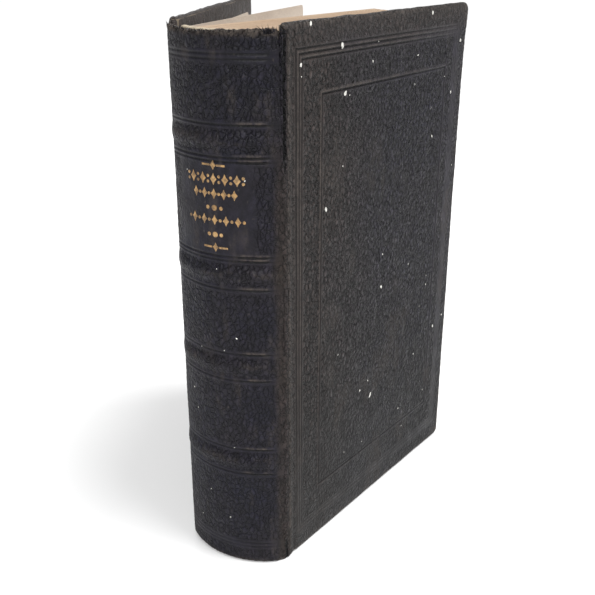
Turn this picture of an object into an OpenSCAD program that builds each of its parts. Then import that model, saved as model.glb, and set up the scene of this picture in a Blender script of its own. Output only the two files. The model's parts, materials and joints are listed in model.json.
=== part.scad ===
// Pocket prayer book: a small, thick leather-bound book that stands on its tail, back cover ajar.
// +Z is up from tail to head, +X runs from the spine to the fore-edge, +Y from front cover to back cover.
// The origin is on the tail end of the spine leather, at the middle of the spine.

/* [Book] */
// Height of the boards, tail to head
book_h = 150; // [120:1:180]
// Width of each cover, from its joint to the fore-edge
cover_w = 89; // [70:1:110]
// Thickness of the closed book at its joints
book_t = 33; // [30:0.5:38]
// How far the rounded spine stands out behind the joints
spine_bulge = 8; // [7:0.5:10]

/* [Covers] */
// Angle by which the closed covers and the leaves lean towards the front, as the spine is cocked
lean = 8; // [4:1:8]
// Angle that the back cover stands open at rest
back_ajar = 29; // [10:1:35]
// Thickness of the leather on the outside of the covers
cover_leather_t = 0.7; // [0.5:0.1:1]
// Thickness of the millboard
board_t = 1.7; // [1.4:0.1:2]
// Radius of the covers' fore-edge corners
cover_corner_r = 3; // [1:0.5:6]
// Width of the leather turned in over each board's edges
turn_in_w = 12; // [8:1:16]

/* [Spine] */
// Thickness of the spine leather
spine_leather_t = 0.8; // [0.6:0.1:1]
// Height of each raised band above the spine
band_rise = 0.8; // [0.5:0.1:1.2]
// Width of each raised band
band_w = 4.4; // [3:0.2:5]
// Distance of the headcap below the boards' head edge
cap_drop = 1.2; // [0.5:0.1:3]

/* [Text block] */
// Margin by which the boards overhang the leaves at head and tail
square_ends = 2.5; // [1.5:0.5:4]
// Margin by which the boards overhang the leaves at the fore-edge
square_fore = 3; // [2:0.5:5]
// Radius of the leaves' fore-edge corners
leaf_corner_r = 4; // [1:0.5:8]
// How far the back free endpaper turns for each degree that the back cover opens
endpaper_follow = 0.58; // [0.4:0.01:0.58]

/* [Hidden] */
sections = 16;

// Layers of each cover, from the outside in
turn_in_t = 0.3;
pastedown_t = 0.2;
pastedown_inset = 5;
cover_t = cover_leather_t + board_t + turn_in_t + pastedown_t;
hinge_gap = 0.4;                        // clear leather between the hinge line and the cover
hinge_x = spine_bulge - spine_leather_t / 2;
hinge_y = book_t / 2;

// Spine: an arc between two shoulders, and a short flange from each shoulder to the hinge line
shoulder_dx = 3;
shoulder_dy = 1.9;
arc_half_chord = hinge_y - shoulder_dy;
arc_rise = spine_bulge - shoulder_dx;
arc_r = (arc_half_chord * arc_half_chord + arc_rise * arc_rise) / (2 * arc_rise);
arc_x = arc_r - spine_leather_t / 2;    // centre of the arc
arc_half_angle = asin(arc_half_chord / arc_r);
flange_angle = atan2(shoulder_dy, shoulder_dx);
flange_along = [-cos(flange_angle), -sin(flange_angle)];   // from the hinge line to the shoulder
flange_in = [sin(flange_angle), -cos(flange_angle)];       // from the outer face into the leather
flange_stop = 0.7;                      // the flange ends this far before the hinge line
cap_z = book_h - cap_drop;

// Layers inside the spine leather, as radii about the arc's centre
layer_gap = 0.05;
leather_in_r = arc_r - spine_leather_t;
inlay_t = 0.5;
inlay_out_r = leather_in_r - layer_gap;
inlay_in_r = inlay_out_r - inlay_t;
cap_leg_t = 0.35;                       // skived leather turned in behind the inlay
cap_leg_out_r = inlay_in_r - layer_gap;
cap_leg_in_r = cap_leg_out_r - cap_leg_t;
cap_leg_len = 8;
cap_h = 2.5;
cap_cord_r = 0.5;
cap_cord_x = (cap_leg_in_r + arc_r) / 2;
hollow_t = 0.45;                        // the hollow back, between the inlay and the lining
lining_t = 0.4;
lining_out_r = cap_leg_in_r - hollow_t;
lining_in_r = lining_out_r - lining_t;
tape_t = 0.4;
tape_out_r = lining_in_r - layer_gap;
tape_in_r = tape_out_r - tape_t;
fold_r = tape_in_r - layer_gap;
tape_w = 8;
TAPE_AT = [0.78, 0.5, 0.22];            // heights of the sewing tapes, as shares of the leaves' height
kettle_inset = 8;
thread_r = 0.18;
endband_clear = 0.4;                    // from the ends of the spine leather
endband_t = 1.2;                        // how far each endband reaches over the folds

// Raised bands, as shares of the book's height, and the lines tooled beside each one
BAND_AT = [0.820, 0.593, 0.420, 0.227];
band_r = (band_w * band_w / 4 + band_rise * band_rise) / (2 * band_rise);
band_core_clear = 0.12;
cord_clear = 0.12;
flange_root = 2;                        // angle over which each flange is rooted in the spine's leather
core_half_angle = arc_half_angle - flange_root - 1;
band_line_off = 3.3;
line_w = 0.45;
line_depth = 0.2;
cap_lines = [5.5, 7];                   // distance of the tooled lines from head and tail

// Text block
leaf_z0 = square_ends;
leaf_h = book_h - 2 * square_ends;
endpaper_t = 0.25;
endpaper_out_clear = 0.28;              // between the pastedown and the free endpaper
endpaper_in_clear = 0.16;               // between the free endpaper and the leaves
endpaper_y = hinge_y - cover_t - endpaper_out_clear - endpaper_t / 2;
block_half_t = endpaper_y - endpaper_t / 2 - endpaper_in_clear;
pitch = 2 * block_half_t / sections;
leaf_gap = 0.06;
leaf_t = pitch - leaf_gap;
gutter_t = 0.5;                         // thickness of a section at its turning line
gutter_len = 15;                        // length over which a section tapers to its turning line
turn_x = hinge_x + 1;                   // the turning lines of all the leaves
fold_gap = 0.5;
leaf_fore_x = hinge_x + cover_w - square_fore;
section_squeeze = 0.1;                  // angle between one section and the next at rest
leaf_fore_t = leaf_t - (leaf_fore_x - turn_x) * sin(section_squeeze);

// Gilt rows in the second compartment: height as a share of the book, half width in degrees
GILT_ROWS = [[0.780, 9], [0.757, 21], [0.732, 14], [0.709, 6], [0.688, 22], [0.664, 5], [0.640, 9]];
gilt_relief = 0.1;
gilt_step = 3;
gilt_dash_share = 0.6;                  // of each step
gilt_row_h = 1.2;
gilt_centre = -2;

// Blind lines on the covers, as distances from the edges: outer group of three and inner panel
OUTER_LINES = [5, 6.2, 7.4];
OUTER_LINES_END = [6.8, 8, 9.2];
inner_side = 13.7;
inner_end = 18.2;

fine = 96;

LEAVES = [for (k = [1 : sections]) str("leaves_", k < 10 ? "0" : "", k)];

// Positions

function section_y(k) = (k - (sections + 1) / 2) * pitch;
function fold_x(y) = arc_x - sqrt(pow(fold_r - leaf_t / 2, 2) - y * y);
function leaf_rest_angle(k) = -lean - (k - 1) * section_squeeze;

// Turns a back-side part into its front-side twin
module front_side() {
    mirror([0, 1, 0]) children();
}

module turned(angle, x, y) {
    translate([x, y, 0]) rotate([0, 0, angle]) translate([-x, -y, 0]) children();
}

// A sheet in the XZ plane with round fore-edge corners: x0 to x1, z0 to z1, standing from y0 to y1
module sheet(x0, x1, z0, z1, y0, y1, corner) {
    translate([0, y1, 0]) rotate([90, 0, 0]) linear_extrude(y1 - y0) union() {
        translate([x0, z0]) square([x1 - x0 - corner, z1 - z0]);
        translate([x0, z0 + corner]) square([x1 - x0, z1 - z0 - 2 * corner]);
        for (z = [z0 + corner, z1 - corner])
            translate([x1 - corner, z]) circle(corner, $fn = fine);
    }
}

// A stretch of the spine's curve: the child profile has x as the radius and y as the height
module round_spine(half_angle = arc_half_angle) {
    translate([arc_x, 0, 0]) rotate([0, 0, 180 - half_angle])
        rotate_extrude(angle = 2 * half_angle, $fn = 2 * fine) children();
}

module ring_profile(r_in, r_out, z0, z1) {
    translate([r_in, z0]) square([r_out - r_in, z1 - z0]);
}

// Covers, drawn closed at the back and mirrored for the front

cover_x0 = hinge_x + hinge_gap;
cover_x1 = hinge_x + cover_w;
board_x0 = cover_x0 + 0.4;
outer_y = hinge_y;
board_out_y = outer_y - cover_leather_t;
board_in_y = board_out_y - board_t;
turn_in_y = board_in_y - turn_in_t;

module cover_closed_board() {
    edge = cover_leather_t;
    sheet(board_x0, cover_x1 - edge, edge, book_h - edge, board_in_y, board_out_y, cover_corner_r - edge);
}

module blind_line(x0, x1, z0, z1) {
    translate([x0 - line_w / 2, outer_y - line_depth, z0 - line_w / 2])
        cube([x1 - x0 + line_w, 1, z1 - z0 + line_w]);
}

module blind_frame(side_in, fore_in, end_in) {
    x0 = hinge_x + side_in;
    x1 = cover_x1 - fore_in;
    z0 = end_in;
    z1 = book_h - end_in;
    for (x = [x0, x1]) blind_line(x, x, z0, z1);
    for (z = [z0, z1]) blind_line(x0, x1, z, z);
}

module cover_closed_leather() {
    edge = cover_leather_t;
    inner_x1 = cover_x1 - turn_in_w;
    difference() {
        sheet(cover_x0, cover_x1, 0, book_h, turn_in_y, outer_y, cover_corner_r);
        sheet(cover_x0 - 1, cover_x1 - edge, edge, book_h - edge, board_in_y, board_out_y,
            cover_corner_r - edge);
        translate([cover_x0 - 1, turn_in_y - 1, turn_in_w])
            cube([inner_x1 - cover_x0 + 1, turn_in_t + 1, book_h - 2 * turn_in_w]);
        translate([cover_x0 - 1, turn_in_y - 1, -1])
            cube([board_x0 - cover_x0 + 1, board_out_y - turn_in_y + 1, book_h + 2]);
        for (i = [0 : 2]) blind_frame(OUTER_LINES[i], OUTER_LINES[i], OUTER_LINES_END[i]);
        blind_frame(inner_side, inner_side, inner_end);
    }
}

module cover_closed_pastedown() {
    inner_y = turn_in_y - pastedown_t;
    clear = 0.1;
    x1 = cover_x1 - pastedown_inset;
    sheet(board_x0 + 0.2, x1, pastedown_inset, book_h - pastedown_inset, inner_y, turn_in_y, leaf_corner_r);
    translate([board_x0 + 0.2, turn_in_y - pastedown_t / 2, turn_in_w + clear])
        cube([cover_x1 - turn_in_w - clear - board_x0 - 0.2, pastedown_t / 2 + turn_in_t,
            book_h - 2 * (turn_in_w + clear)]);
}

module at_back_cover() {
    turned(back_ajar - lean, hinge_x, hinge_y) children();
}

module at_front_cover() {
    front_side() turned(lean, hinge_x, hinge_y) children();
}

module front_board() {
    color("#8a8072") at_front_cover() cover_closed_board();
}

module back_board() {
    color("#8a8072") at_back_cover() cover_closed_board();
}

module front_cover_leather() {
    color("#2b292b") at_front_cover() cover_closed_leather();
}

module back_cover_leather() {
    color("#2b292b") at_back_cover() cover_closed_leather();
}

module front_pastedown() {
    color("#c9b593") at_front_cover() cover_closed_pastedown();
}

module back_pastedown() {
    color("#c9b593") at_back_cover() cover_closed_pastedown();
}

// Spine

module band_circle(z, shrink = 0) {
    translate([arc_r + band_rise - band_r, z]) circle(band_r - shrink, $fn = fine);
}

module beyond(r, z0, z1) {
    ring_profile(r, r + 3, z0, z1);
}

module spine_leather_profile() {
    difference() {
        union() {
            ring_profile(leather_in_r, arc_r, 0, cap_z);
            for (z = [0, cap_z - cap_h]) ring_profile(cap_leg_in_r, arc_r, z, z + cap_h);
            ring_profile(cap_leg_in_r, cap_leg_out_r, cap_h - 1, cap_h + cap_leg_len);
            ring_profile(cap_leg_in_r, cap_leg_out_r, cap_z - cap_h - cap_leg_len, cap_z - cap_h + 1);
            for (at = BAND_AT) intersection() {
                band_circle(at * book_h);
                beyond(leather_in_r, 0, cap_z);
            }
        }
        for (at = BAND_AT) {
            intersection() {
                band_circle(at * book_h, spine_leather_t);
                beyond(leather_in_r - 1, 0, cap_z);
            }
            for (side = [-1, 1])
                tooled_line(at * book_h + side * band_line_off);
        }
        for (off = cap_lines) {
            tooled_line(off);
            tooled_line(cap_z - off);
        }
        for (z = [cap_h / 2, cap_z - cap_h / 2])
            translate([cap_cord_x, z]) circle(cap_cord_r + cord_clear, $fn = fine);
    }
}

module tooled_line(z) {
    ring_profile(arc_r - line_depth, arc_r + 1, z - line_w / 2, z + line_w / 2);
}

function on_arc(angle, r) = [arc_x - r * cos(angle), r * sin(angle)];

// The leather between the shoulder and the hinge line, drawn at the back
module flange() {
    bite = 0.05;
    end = [hinge_x, hinge_y] + flange_stop * flange_along;
    linear_extrude(cap_z) polygon([
        end,
        on_arc(arc_half_angle, arc_r - bite),
        on_arc(arc_half_angle - flange_root, arc_r - spine_leather_t / 2),
        on_arc(arc_half_angle, leather_in_r + bite),
        end + spine_leather_t * flange_in]);
}

module spine_leather() {
    color("#1f1f22") union() {
        round_spine() spine_leather_profile();
        flange();
        front_side() flange();
    }
}

// A thin strip bent over the hinge line, from the flange to the cover, drawn at the back
module joint_strip(cover_angle) {
    t = 0.5;
    end_clear = 0.3;
    reach = flange_stop - 0.08;
    cover_reach = hinge_gap - 0.1;
    out = [cos(cover_angle), sin(cover_angle)];
    in_cover = [sin(cover_angle), -cos(cover_angle)];
    translate([hinge_x, hinge_y, end_clear]) linear_extrude(cap_z - 2 * end_clear)
        polygon([reach * flange_along, [0, 0], cover_reach * out, cover_reach * out + t * in_cover,
            [0.05, -t], reach * flange_along + t * flange_in]);
}

module front_joint_leather() {
    color("#4a3e38") front_side() joint_strip(lean);
}

module back_joint_leather() {
    color("#4a3e38") joint_strip(back_ajar - lean);
}

module spine_inlay() {
    color("#9c8d74") round_spine(arc_half_angle - 1)
        ring_profile(inlay_in_r, inlay_out_r, cap_h + 0.2, cap_z - cap_h - 0.2);
}

module band_core(i) {
    color("#7d6f5c") round_spine(core_half_angle) intersection() {
        band_circle(BAND_AT[i] * book_h, spine_leather_t + band_core_clear);
        beyond(leather_in_r, 0, cap_z);
    }
}

module raised_band_core_1() {
    band_core(0);
}

module raised_band_core_2() {
    band_core(1);
}

module raised_band_core_3() {
    band_core(2);
}

module raised_band_core_4() {
    band_core(3);
}

module cap_cord(z) {
    color("#b5a283") round_spine(core_half_angle)
        translate([cap_cord_x, z]) circle(cap_cord_r, $fn = fine);
}

module headcap_cord() {
    cap_cord(cap_z - cap_h / 2);
}

module tailcap_cord() {
    cap_cord(cap_h / 2);
}

// Rows of plain gilt dashes, each a short raised sector on the spine's surface
module gilt_ornament() {
    color("#c79a4b") translate([arc_x, 0, 0]) for (row = GILT_ROWS) {
        dashes = max(2, round(2 * row[1] / gilt_step));
        step = 2 * row[1] / dashes;
        for (i = [0 : dashes - 1])
            rotate([0, 0, 180 - gilt_centre - row[1] + i * step])
                rotate_extrude(angle = step * gilt_dash_share, $fn = 2 * fine)
                    ring_profile(arc_r, arc_r + gilt_relief, row[0] * book_h - gilt_row_h / 2,
                        row[0] * book_h + gilt_row_h / 2);
    }
}

// Backing of the text block

module spine_lining() {
    color("#d8cdb4") round_spine(arc_half_angle - 3)
        ring_profile(lining_in_r, lining_out_r, leaf_z0 + 4, leaf_z0 + leaf_h - 4);
}

module sewing_tape(i) {
    z = leaf_z0 + TAPE_AT[i] * leaf_h;
    color("#e2dac6") round_spine(arc_half_angle - 3)
        ring_profile(tape_in_r, tape_out_r, z - tape_w / 2, z + tape_w / 2);
}

module sewing_tape_1() {
    sewing_tape(0);
}

module sewing_tape_2() {
    sewing_tape(1);
}

module sewing_tape_3() {
    sewing_tape(2);
}

module kettle_stitches() {
    color("#ece6d6") for (z = [leaf_z0 + kettle_inset, leaf_z0 + leaf_h - kettle_inset])
        round_spine(arc_half_angle - 4) translate([(tape_in_r + tape_out_r) / 2, z])
            circle(thread_r, $fn = 24);
}

// The folded back of each section, from its round fold to the turning line
module section_folds() {
    color("#d9cba8") for (k = [1 : sections]) {
        y = section_y(k);
        end_x = turn_x - fold_gap;
        translate([0, 0, leaf_z0]) linear_extrude(leaf_h) union() {
            difference() {
                translate([fold_x(y), y]) circle(leaf_t / 2, $fn = 48);
                translate([end_x, y - leaf_t]) square(2 * leaf_t);
            }
            translate([fold_x(y), y - leaf_t / 2]) square([end_x - fold_x(y), leaf_t]);
        }
    }
}

module endband(z0, z1) {
    round_spine(arc_half_angle - 4) ring_profile(fold_r - endband_t, lining_out_r, z0, z1);
}

module head_endband() {
    color("#b8a98a") endband(leaf_z0 + leaf_h + layer_gap, cap_z - endband_clear);
}

module tail_endband() {
    color("#b8a98a") endband(endband_clear, leaf_z0 - layer_gap);
}

// Leaves

// One section's leaves, from the turning line to the fore-edge, with the gutter's taper
module leaf_bundle(k) {
    y = section_y(k);
    fore = leaf_fore_x - (fold_x(section_y(1)) - fold_x(y));
    length = fore - turn_x;
    color(k % 2 == 0 ? "#d6c7a2" : "#dccfae") turned(leaf_rest_angle(k), turn_x, y) intersection() {
        translate([turn_x, y, leaf_z0]) linear_extrude(leaf_h) union() {
            circle(gutter_t / 2, $fn = 24);
            polygon([[0, -gutter_t / 2], [gutter_len, -leaf_t / 2], [length, -leaf_fore_t / 2],
                [length, leaf_fore_t / 2], [gutter_len, leaf_t / 2], [0, gutter_t / 2]]);
        }
        sheet(0, fore, leaf_z0, leaf_z0 + leaf_h, y - 2, y + 2, leaf_corner_r);
    }
}

module free_endpaper(rest_angle) {
    turned(rest_angle, turn_x, endpaper_y)
        sheet(turn_x, leaf_fore_x, leaf_z0, leaf_z0 + leaf_h, endpaper_y - endpaper_t / 2,
            endpaper_y + endpaper_t / 2, leaf_corner_r);
}

module front_free_endpaper() {
    color("#cdb78f") front_side() free_endpaper(lean);
}

module back_free_endpaper() {
    color("#cdb78f") free_endpaper(endpaper_follow * back_ajar - lean);
}

front_board();
front_cover_leather();
front_pastedown();
back_board();
back_cover_leather();
back_pastedown();
spine_leather();
front_joint_leather();
back_joint_leather();
spine_inlay();
raised_band_core_1();
raised_band_core_2();
raised_band_core_3();
raised_band_core_4();
headcap_cord();
tailcap_cord();
gilt_ornament();
spine_lining();
sewing_tape_1();
sewing_tape_2();
sewing_tape_3();
kettle_stitches();
section_folds();
head_endband();
tail_endband();
front_free_endpaper();
back_free_endpaper();
for (k = [1 : sections])
    leaf_bundle(k);
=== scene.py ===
"""A pocket prayer book in worn black leather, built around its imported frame.

Shapes are worked out in millimetres in the frame's axes: +X from spine to fore-edge, +Y from front to
back cover, +Z from tail to head. add_mesh turns them into metres.
"""
import functools
import json
from math import asin, atan2, cos, degrees, hypot, pi, radians, sin

import bmesh
import bpy
import numpy as np
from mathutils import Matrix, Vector


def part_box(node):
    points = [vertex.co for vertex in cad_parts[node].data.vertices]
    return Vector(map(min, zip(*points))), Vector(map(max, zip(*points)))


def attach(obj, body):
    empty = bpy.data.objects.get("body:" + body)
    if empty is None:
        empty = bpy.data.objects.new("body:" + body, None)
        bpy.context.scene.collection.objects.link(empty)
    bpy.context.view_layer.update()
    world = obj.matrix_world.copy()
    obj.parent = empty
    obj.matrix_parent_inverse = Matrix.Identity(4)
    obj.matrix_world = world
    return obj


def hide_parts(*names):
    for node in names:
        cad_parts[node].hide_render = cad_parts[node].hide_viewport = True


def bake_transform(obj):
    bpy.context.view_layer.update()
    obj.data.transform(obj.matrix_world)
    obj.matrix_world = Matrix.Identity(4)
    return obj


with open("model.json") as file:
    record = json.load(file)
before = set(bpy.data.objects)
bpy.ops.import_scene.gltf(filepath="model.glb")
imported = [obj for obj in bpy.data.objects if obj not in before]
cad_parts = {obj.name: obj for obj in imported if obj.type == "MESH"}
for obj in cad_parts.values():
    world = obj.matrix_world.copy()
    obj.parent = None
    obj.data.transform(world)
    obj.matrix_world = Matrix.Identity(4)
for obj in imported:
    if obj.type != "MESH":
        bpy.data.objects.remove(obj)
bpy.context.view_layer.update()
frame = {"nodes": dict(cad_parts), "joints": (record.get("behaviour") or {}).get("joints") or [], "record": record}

MM = 0.001
FRONT, BACK = "front", "back"
OUTWARD = {FRONT: -1, BACK: 1}      # which way along Y each cover faces


# -------- sizes, from the frame

def corners(node_name):
    """Lowest and highest corner of a node, in millimetres."""
    low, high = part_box(node_name)
    return np.array(low) / MM, np.array(high) / MM


def joint(name):
    return next(j for j in frame["joints"] if j["name"] == name)


def joint_xy(name):
    return np.array(joint(name)["pos_m"][:2]) / MM


def mount_axis(name):
    return next(m for m in frame["record"]["mounts"] if m["name"] == name)["axis"]


HINGE = {FRONT: joint_xy("front_cover_hinge"), BACK: joint_xy("back_cover_hinge")}
front_axis, back_axis = mount_axis("front_cover_face"), mount_axis("back_cover_face")
COVER_ANGLE = {FRONT: -atan2(-front_axis[0], -front_axis[1]),
               BACK: atan2(-back_axis[0], back_axis[1])}
BOOK_H = corners("front_cover_leather")[1][2]
CAP_Z = corners("spine_leather")[1][2]
LEAF_LOW, LEAF_HIGH = corners("leaves_01")[0][2], corners("leaves_01")[1][2]
COVER_W = 89.0
COVER_START = 0.4           # clear leather between the hinge line and the cover's own edge
SKIN_T = 2.7                # leather, board and turned-in leather together
EDGE_R = 1.0                # rounding of a cover's outer edge
SPINE_LEATHER = 0.8
SHOULDER = (3.0, 1.9)       # from a hinge line in to the shoulder of the spine
SPINE_X = corners("spine_inlay")[0][0] - SPINE_LEATHER - 0.05
CAP_T = 1.75
CAP_LEG = 10.5
BAND_Z = [float(np.mean([corner[2] for corner in corners(f"raised_band_core_{i}")])) for i in range(1, 5)]
SECTIONS = 16
SHEETS = 8
SQUEEZE_DEG = 0.1           # each section lies at this angle to the next
SHEET_CORNER = 4.0
EDGE_WEAR = 6.0             # how far in the worn edges of a cover reach
# Tooled rectangles on a cover: how far in they lie from the joint, the fore-edge and both ends.
OUTER_LINES = [(4.5, 5.0, 6.3), (5.5, 5.95, 7.5), (6.6, 6.9, 8.75)]
INNER_LINE = (15.0, 11.7, 17.9)
TOOLING = [*OUTER_LINES, INNER_LINE]


# -------- noise and profiles

def ease(low, high, x):
    """0 at low and 1 at high, with a smooth rise between them. Low may be the larger."""
    t = np.clip((x - low) / (high - low), 0, 1)
    return t * t * (3 - 2 * t)


def bump_at(x, centre, width):
    return np.exp(-(((x - centre) / width) ** 2))


def least(*values):
    return functools.reduce(np.minimum, values)


def most(*values):
    return functools.reduce(np.maximum, values)


def lattice(i, j, seed):
    """A fixed random number from 0 to 1 for each pair of whole numbers."""
    h = (i.astype(np.int64) * 374761393 + j.astype(np.int64) * 668265263 + seed * 974711) & 0xFFFFFFFF
    h = ((h ^ (h >> 13)) * 1274126177) & 0xFFFFFFFF
    return ((h ^ (h >> 16)) & 0xFFFFFF) / float(0xFFFFFF)


def value_noise(u, v, seed):
    i, j = np.floor(u), np.floor(v)
    a, b = ease(0, 1, u - i), ease(0, 1, v - j)
    low = lattice(i, j, seed) * (1 - a) + lattice(i + 1, j, seed) * a
    high = lattice(i, j + 1, seed) * (1 - a) + lattice(i + 1, j + 1, seed) * a
    return low * (1 - b) + high * b


def fbm(u, v, seed, octaves=3):
    """Layered noise, from 0 to 1."""
    total = sum(value_noise(u * 2 ** k, v * 2 ** k, seed + 17 * k) / 2 ** k for k in range(octaves))
    return total / sum(1 / 2 ** k for k in range(octaves))


def cell_walls(u, v, seed):
    """0 on the walls between random cells of about unit size, rising inside each cell."""
    i, j = np.floor(u), np.floor(v)
    nearest, second = np.full(u.shape, 9.0), np.full(u.shape, 9.0)
    for a in (-1, 0, 1):
        for b in (-1, 0, 1):
            du = i + a + lattice(i + a, j + b, seed) - u
            dv = j + b + lattice(i + a, j + b, seed + 1) - v
            d = np.hypot(du, dv)
            second = least(second, most(d, nearest))
            nearest = least(nearest, d)
    return second - nearest


def leather_grain(u, v, seed):
    """Height of the pressed grain, in mm: wrinkled cells parted by narrow creases."""
    bent_u = u + 1.6 * (fbm(u / 3, v / 5, seed + 2) - 0.5)
    bent_v = v + 2.0 * (fbm(u / 3, v / 4, seed + 3) - 0.5)
    large = ease(0.0, 0.5, cell_walls(bent_u / 1.35, bent_v / 1.9, seed))
    small = ease(0.0, 0.6, cell_walls(bent_u / 0.85, bent_v / 1.2, seed + 9))
    return 0.19 * (large - 0.7) + 0.07 * (small - 0.6)


# -------- meshes

def add_mesh(name, points, faces, material, smooth=True, sharp=None, **attributes):
    """A mesh object from points in mm, with its rest places and any named values kept on its points."""
    places = np.asarray(points) * MM
    mesh = bpy.data.meshes.new(name)
    mesh.from_pydata(places.tolist(), [], [list(map(int, f)) for f in faces])
    work = bmesh.new()
    work.from_mesh(mesh)
    bmesh.ops.recalc_face_normals(work, faces=work.faces)
    work.to_mesh(mesh)
    work.free()
    rest = mesh.attributes.new("rest_co", "FLOAT_VECTOR", "POINT")
    rest.data.foreach_set("vector", places.astype(np.float32).ravel())
    for key, values in attributes.items():
        made = mesh.attributes.new(key, "FLOAT", "POINT")
        made.data.foreach_set("value", np.asarray(values, np.float32).ravel())
    mesh.polygons.foreach_set("use_smooth", [smooth] * len(mesh.polygons))
    if sharp:
        mesh.set_sharp_from_angle(angle=radians(sharp))
    mesh.materials.append(material)
    return add_object(name, mesh)


def add_object(name, data):
    made = bpy.data.objects.new(name, data)
    bpy.context.scene.collection.objects.link(made)
    return made


def grid(rows, columns):
    return np.meshgrid(rows, columns, indexing="ij")


def grid_faces(rows, columns, start=0, loop=False):
    i = start + columns * np.arange(rows - 1)[:, None]
    j = np.arange(columns if loop else columns - 1)[None, :]
    after = (j + 1) % columns
    return np.stack([i + j, i + columns + j, i + columns + after, i + after], -1).reshape(-1, 4).tolist()


def rim(rows, columns, start=0):
    """The indices round a grid's edge, once round."""
    index = start + np.arange(rows * columns).reshape(rows, columns)
    sides = [index[:, 0], index[-1, 1:], index[-2::-1, -1], index[0, -2:0:-1]]
    return np.concatenate(sides).tolist()


def join_rims(rim_a, rim_b):
    after_a, after_b = rim_a[1:] + rim_a[:1], rim_b[1:] + rim_b[:1]
    return list(zip(rim_a, after_a, after_b, rim_b))


def slab(front, back):
    """A closed sheet from two grids of points that face each other."""
    rows, columns = front.shape[:2]
    count = rows * columns
    faces = grid_faces(rows, columns) + grid_faces(rows, columns, count)
    faces += join_rims(rim(rows, columns), rim(rows, columns, count))
    return np.concatenate([front.reshape(-1, 3), back.reshape(-1, 3)]), faces


def ring_solid(rings):
    """A closed solid through rings of points, flat at both ends."""
    count = len(rings[0])
    order = [list(range(k * count, (k + 1) * count)) for k in range(len(rings))]
    faces = [face for a, b in zip(order, order[1:]) for face in join_rims(a, b)]
    return np.concatenate(rings), faces + [order[-1], order[0][::-1]]


def twice(values):
    """Point values for both faces of a sheet."""
    return np.concatenate([values.ravel(), values.ravel()])


def turned(pivot, angle, r, y, z):
    """Places r along and y across a line that starts at pivot, at an angle to X."""
    x, y = r * cos(angle) - y * sin(angle), r * sin(angle) + y * cos(angle)
    return np.stack([pivot[0] + x, pivot[1] + y, z + 0 * r], -1)


def rounded(gap_a, gap_b, radius):
    """For places by a square corner: whether they lie in it, and where its arc puts them from its centre."""
    a, b = radius - gap_a, radius - gap_b
    shrink = most(a, b) / most(np.hypot(a, b), 1e-9)
    return (a > 0) & (b > 0), a * shrink, b * shrink


def grid_normals(points, loop=False):
    """Unit normals of a grid of points."""
    along = np.gradient(points, axis=0)
    across = np.roll(points, -1, 1) - np.roll(points, 1, 1) if loop else np.gradient(points, axis=1)
    normal = np.cross(along, across)
    return normal / most(np.linalg.norm(normal, axis=2, keepdims=True), 1e-9)


def normals_of(line):
    """Unit normals of a line in plan, to its left."""
    tangent = np.gradient(line, axis=0)
    tangent /= np.linalg.norm(tangent, axis=1, keepdims=True)
    return np.stack([-tangent[:, 1], tangent[:, 0]], -1)


def length_along(line):
    return np.concatenate([[0], np.cumsum(np.linalg.norm(np.diff(line, axis=0), axis=1))])


def resampled(line, known, wanted):
    """A line's points at wanted places, from those at known places."""
    return np.stack([np.interp(wanted, known, line[:, k]) for k in (0, 1)], -1)


def arc_size(half, rise):
    """Radius and half angle of an arc that rises by rise over a chord of twice half."""
    radius = (half ** 2 + rise ** 2) / (2 * rise)
    return radius, asin(half / radius)


def gather(parts):
    """Several (points, faces) pairs as one."""
    points, faces, count = [], [], 0
    for part_points, part_faces in parts:
        points.append(part_points)
        faces += [[i + count for i in f] for f in part_faces]
        count += len(part_points)
    return np.concatenate(points), faces


def lines_between(low, high, step, extra, spread=(0.0, 0.15, 0.3, 0.45, 0.62)):
    """Evenly spaced grid lines with more of them beside each extra place."""
    made = list(np.linspace(low, high, int(round((high - low) / step)) + 1))
    near = [place + sign * off for place in extra for off in spread for sign in (-1, 1)]
    made = [x for x in made if all(abs(x - n) > 0.12 for n in near) or x in (low, high)] + near
    kept = []
    for x in sorted(made):
        if low <= x <= high and (not kept or x - kept[-1] > 0.08):
            kept.append(x)
    kept[-1] = high
    return np.array(kept)


# -------- node materials

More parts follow.
